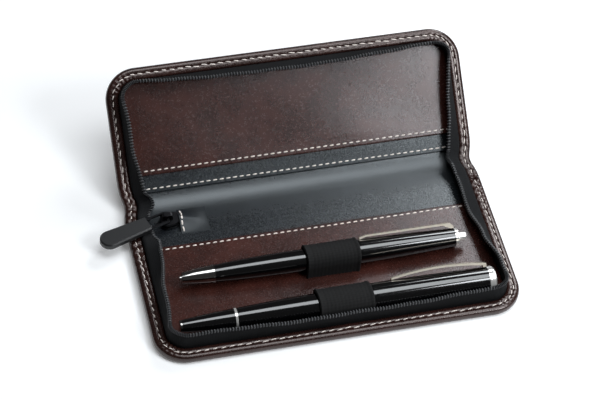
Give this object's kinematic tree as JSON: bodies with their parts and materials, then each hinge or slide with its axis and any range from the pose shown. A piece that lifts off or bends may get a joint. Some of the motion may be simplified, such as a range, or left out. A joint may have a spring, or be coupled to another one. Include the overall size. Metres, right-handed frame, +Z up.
{
  "type": "fountain pen case",
  "caption": "Open zip-around leather case whose base holds a ballpoint and a fountain pen in elastic loops, with a raised lid of slit pockets and a pull on the zip.",
  "frame": {"origin": "centre of the base half's underside, on the surface that the open case lies on", "axes": "+X along the spine, away from the zip's end; +Y from the base's front edge to the spine and lid; +Z up"},
  "size_m": [0.1738, 0.1322, 0.0462],
  "materials": {
    "brown_leather": "dark brown grained leather, soft sheen",
    "lining_leather": "smooth dark brown lining leather",
    "black_leather": "smooth black leather",
    "board": "grey-brown fibre board",
    "interlining": "soft fibre interlining",
    "zip_tape": "woven blue-black tape",
    "zip_coil": "black nylon coil",
    "elastic": "charcoal ribbed elastic",
    "slider_metal": "dark gunmetal plating",
    "pull_rubber": "matt black moulding",
    "lacquer": "black lacquer",
    "chrome": "polished plating",
    "pale_gold": "pale polished plating",
    "spring_steel": "plain wire",
    "refill_metal": "plain tube",
    "nib_metal": "polished sheet",
    "ink_plastic": "moulded plastic"
  },
  "bodies": {
    "base": {"base_cover": "brown_leather", "base_board": "board", "base_rim_band": "brown_leather", "base_lining": "lining_leather", "base_zip_tape": "zip_tape", "base_zip_coil": "zip_coil", "ballpoint_loop": "elastic", "fountain_pen_loop": "elastic"},
    "spine": {"spine_cover": "brown_leather", "spine_interlining": "interlining", "spine_lining": "black_leather", "spine_rim_bands": "brown_leather", "spine_zip_tape": "zip_tape", "spine_zip_coil": "zip_coil", "zip_tail_tape": "zip_tape", "zip_tail_coil": "zip_coil", "zip_end_tab": "black_leather"},
    "slider": {"slider_body": "slider_metal"},
    "puller": {"puller_link": "slider_metal", "pull_tab": "pull_rubber"},
    "lid": {"lid_cover": "brown_leather", "lid_board": "board", "lid_rim_band": "brown_leather", "lid_lining": "black_leather", "black_pocket": "black_leather", "brown_pocket": "lining_leather", "lid_zip_tape": "zip_tape", "lid_zip_coil": "zip_coil"},
    "ballpoint": {"ballpoint_nose": "chrome", "ballpoint_lower_barrel": "lacquer", "ballpoint_upper_barrel": "lacquer", "ballpoint_top_ring": "chrome", "ballpoint_clip": "pale_gold", "ballpoint_spring": "spring_steel"},
    "ballpoint_push": {"ballpoint_push_button": "chrome", "ballpoint_refill": "refill_metal"},
    "fountain_pen": {"fountain_pen_tail_tip": "chrome", "fountain_pen_tail": "lacquer", "fountain_pen_tail_ring": "chrome", "fountain_pen_barrel": "lacquer", "fountain_pen_section": "lacquer", "fountain_pen_cartridge": "ink_plastic", "fountain_pen_nib": "nib_metal", "fountain_pen_feed": "ink_plastic", "fountain_pen_cap": "lacquer", "fountain_pen_inner_cap": "ink_plastic", "fountain_pen_clip": "chrome", "fountain_pen_finial": "chrome"}
  },
  "joints": [
    {"name": "spine_fold", "type": "hinge", "parent": "base", "child": "spine", "pos_m": [0, 0.0305, 0.0021], "axis": [1, 0, 0], "range_deg": [0, 90], "deforming": ["spine_cover", "spine_interlining", "spine_lining", "spine_rim_bands", "spine_zip_tape", "spine_zip_coil"]},
    {"name": "lid_fold", "type": "hinge", "parent": "spine", "child": "lid", "pos_m": [0, 0.055, 0.0021], "axis": [1, 0, 0], "range_deg": [-41, 49], "deforming": ["spine_cover", "spine_interlining", "spine_lining", "spine_rim_bands", "spine_zip_tape", "spine_zip_coil"]},
    {"name": "slider_run", "type": "slide", "parent": "spine", "child": "slider", "axis": [-1, 0, 0], "range_m": [0, 0.004], "deforming": ["spine_zip_tape", "spine_zip_coil"]},
    {"name": "puller_swing", "type": "hinge", "parent": "slider", "child": "puller", "pos_m": [-0.0625, 0.0435, 0.00715], "axis": [0.2924, -0.9563, 0], "range_deg": [-150, 0]},
    {"name": "ballpoint_slide", "type": "slide", "parent": "base", "child": "ballpoint", "axis": [1, 0, 0], "range_m": [-0.0008, 0.0035]},
    {"name": "ballpoint_push", "type": "slide", "parent": "ballpoint", "child": "ballpoint_push", "axis": [-1, 0, 0], "range_m": [0, 0.005], "stiffness_N_per_m": 300, "deforming": ["ballpoint_spring"]},
    {"name": "fountain_pen_slide", "type": "slide", "parent": "base", "child": "fountain_pen", "axis": [1, 0, 0], "range_m": [-0.0015, 0.0005]}
  ]
}
